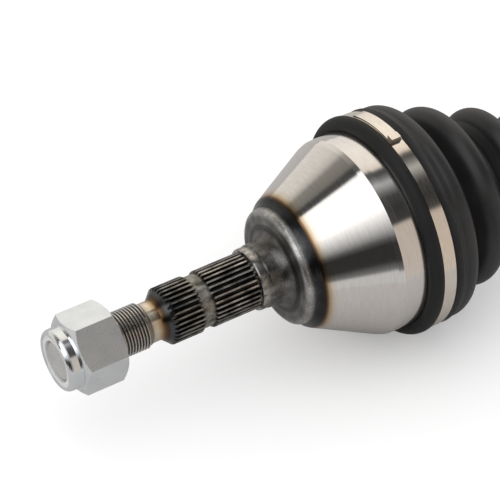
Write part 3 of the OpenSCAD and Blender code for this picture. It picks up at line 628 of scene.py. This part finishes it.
inside += [(-x, r) for x, r in folds(INNER_CRESTS, INNER_VALLEYS, INNER_VALLEY_ROUND, BOOT_WALL)]
inside += arc(INNER_NECK_X, NECK_OUT + 3, 3 + BOOT_WALL, -15, -75, 6)
inside += [(INNER_NECK_X, NECK_IN), (INNER_NECK_END, NECK_IN)]
bending_boot(
    metres(outside + inside[::-1], INNER_X)[::-1], "inner_boot_skin", "inner_boot",
    [INNER_X + x * MM for x in (-114.0, -62.0, -36.0)], ["bar", "first_roller", "tripod_housing"],
)

# %% [markdown]
# The camera is a long lens that stands back from the wheel end, above it and to one side, as a catalogue
# photographer would stand to keep the shaft's outline from spreading. It is set by three directions.

# %% Camera
CAMERA_AT = Vector((-0.7095, -0.7152, 0.7877))
RIGHT = Vector((0.8486, -0.5290, 0.0)).normalized()
BACK = Vector((-0.3907, -0.6267, 0.6743)).normalized()
UP = BACK.cross(RIGHT).normalized()
RIGHT = UP.cross(BACK).normalized()
camera = bpy.data.objects.new("camera", bpy.data.cameras.new("camera"))
bpy.context.scene.collection.objects.link(camera)
camera.matrix_world = Matrix((
    (RIGHT.x, UP.x, BACK.x, CAMERA_AT.x),
    (RIGHT.y, UP.y, BACK.y, CAMERA_AT.y),
    (RIGHT.z, UP.z, BACK.z, CAMERA_AT.z),
    (0, 0, 0, 1),
))
camera.data.sensor_width = 36
camera.data.lens = 180
camera.data.clip_start, camera.data.clip_end = 0.02, 50
bpy.context.scene.camera = camera
print("camera", round(CAMERA_AT.length, 3), "m from the shaft's middle")

# %% [markdown]
# A white table takes the soft shadow below the shaft. Mirror rays see it a little darker than the other
# rays do, since the polished steel would otherwise lose its lower edge, and a faint glow that only the
# camera sees lifts its far part to white paper.

# %% Table
TABLE_Z = -0.0562
table_bm = bmesh.new()
bmesh.ops.create_grid(table_bm, x_segments=1, y_segments=1, size=0.5)
bmesh.ops.scale(table_bm, vec=(6.0, 2.4, 1.0), verts=table_bm.verts)
bmesh.ops.translate(table_bm, vec=(0.5, 1.0, TABLE_Z), verts=table_bm.verts)
table_mesh = bpy.data.meshes.new("table")
table_bm.to_mesh(table_mesh)
table_bm.free()
table = bpy.data.objects.new("table", table_mesh)
bpy.context.scene.collection.objects.link(table)
table_white = bpy.data.materials.new("table_white")
table_white.use_nodes = True
tree = table_white.node_tree
tree.nodes.clear()
rays = add(tree, "LightPath")
seen = rays.outputs["Is Camera Ray"]
paper_colour = mix(tree, rays.outputs["Is Glossy Ray"], 0.86, (0.50, 0.485, 0.475))
paper = add(tree, "BsdfDiffuse", {0: paper_colour})
glow = add(tree, "Emission", {0: (1, 1, 1, 1), 1: maths(tree, "MULTIPLY", seen, 0.18)})
both = add(tree, "AddShader", {0: paper.outputs[0], 1: glow.outputs[0]})
tree.links.new(both.outputs[0], add(tree, "OutputMaterial").inputs[0])
table_mesh.materials.append(table_white)
table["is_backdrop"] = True
print("table", round(-TABLE_Z / MM, 1), "mm below the axis")

# %% [markdown]
# Polished steel shows nothing but what stands around it, so its bands come from a tent of light: white cloth
# in front and above, with dark gaps between. The tent is drawn in the world's shader by the angle round the
# shaft, and only mirror rays see it. The camera sees plain white, and matt surfaces get plain soft light.

# %% Directions of the tent
world = bpy.data.worlds.new("tent")
bpy.context.scene.world = world
world.use_nodes = True
tree = world.node_tree
tree.nodes.clear()
AHEAD = Vector((0, BACK.y, BACK.z)).normalized()
ABOVE = Vector((1, 0, 0)).cross(AHEAD)
ABOVE = ABOVE if ABOVE.z > 0 else -ABOVE
towards = add(tree, "TexCoord").outputs["Generated"]
ahead = add(tree, "VectorMath", {0: towards, 1: AHEAD}, operation="DOT_PRODUCT").outputs["Value"]
above = add(tree, "VectorMath", {0: towards, 1: ABOVE}, operation="DOT_PRODUCT").outputs["Value"]
sideways = add(tree, "SeparateXYZ", {0: towards}).outputs[0]
angle = maths(tree, "MULTIPLY_ADD", maths(tree, "ARCTAN2", above, ahead), 1 / math.tau, 0.5)


def at_angles(stops):
    """Stops given in degrees above the line to the camera."""
    return [((degrees + 180) / 360, value) for degrees, value in stops]


print("the tent is measured round the shaft, from the camera's side")

# %% Cloth and gaps of the tent
nut_side = ramp(tree, angle, at_angles([
    (-180, 0.55), (-57, 0.60), (-54.5, 0.18), (-44, 0.026), (-24, 0.022), (-18, 0.10), (-9, 0.44), (1, 0.80),
    (9, 1.12), (16, 1.45), (58, 1.45), (61.5, 1.2), (62.7, 0.055), (71, 0.055),
    (76, (0.20, 0.195, 0.175)), (91, (0.27, 0.26, 0.235)), (97, (0.57, 0.54, 0.50)),
    (107, (0.74, 0.71, 0.65)), (130, (0.78, 0.75, 0.70)), (180, (0.85, 0.82, 0.78)),
]))
gearbox_side = ramp(tree, angle, at_angles([
    (-180, 0.15), (-140, 0.30), (-90, (0.58, 0.55, 0.52)), (-50, (0.60, 0.53, 0.47)),
    (-9, (0.58, 0.51, 0.45)), (-5, 0.045), (10, 0.03), (24, 0.05), (30, 0.16), (40, 0.48), (46, 0.22),
    (52, 0.07), (57, 0.08), (61, (0.85, 0.76, 0.68)), (70, (1.0, 0.93, 0.84)), (95, (1.05, 1.0, 0.9)),
    (130, (0.9, 0.86, 0.82)), (150, 0.75), (165, 0.35), (180, 0.15),
]))
side = add(
    tree, "MapRange", {0: sideways, 1: -0.12, 2: 0.30, 3: 0.0, 4: 1.0}, interpolation_type="SMOOTHSTEP",
)
tent = mix(tree, side.outputs[0], nut_side, gearbox_side)
rays = add(tree, "LightPath")
sky = add(tree, "Background", {0: mix(tree, rays.outputs["Is Glossy Ray"], 1.0, tent), 1: 1.0})
tree.links.new(sky.outputs[0], add(tree, "OutputWorld").inputs[0])
print("the tent has", len(tree.nodes), "nodes")

# %% [markdown]
# The tent alone lights everything evenly, so one large lamp above gives the shadow a direction. It isn't
# mirrored, because the tent gives the reflections.

# %% Key lamp
LAMP_AT, LAMP_AIM = Vector((-0.60, -0.40, 1.5)), Vector((-0.2, 0, 0))
lamp = bpy.data.objects.new("key", bpy.data.lights.new("key", "AREA"))
lamp.data.size = 1.6
lamp.data.energy = 4
lamp.location = LAMP_AT
lamp.rotation_euler = (LAMP_AT - LAMP_AIM).to_track_quat("Z", "Y").to_euler()
lamp.visible_glossy = False
bpy.context.scene.collection.objects.link(lamp)
print("key lamp of", lamp.data.energy, "W")

# %% [markdown]
# Last, the box is measured once more. The boots and the thread were made here, so this shows that nothing
# reaches past the solids.

# %% Finish
scene = bpy.context.scene
scene.view_settings.view_transform = "Standard"
visual_box = [list(corner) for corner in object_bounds()]
grown = [round((v - s) / MM, 2) for s, v in zip(sum(solid_box, []), sum(visual_box, []))]
print("visual box minus solid box, mm:", grown)
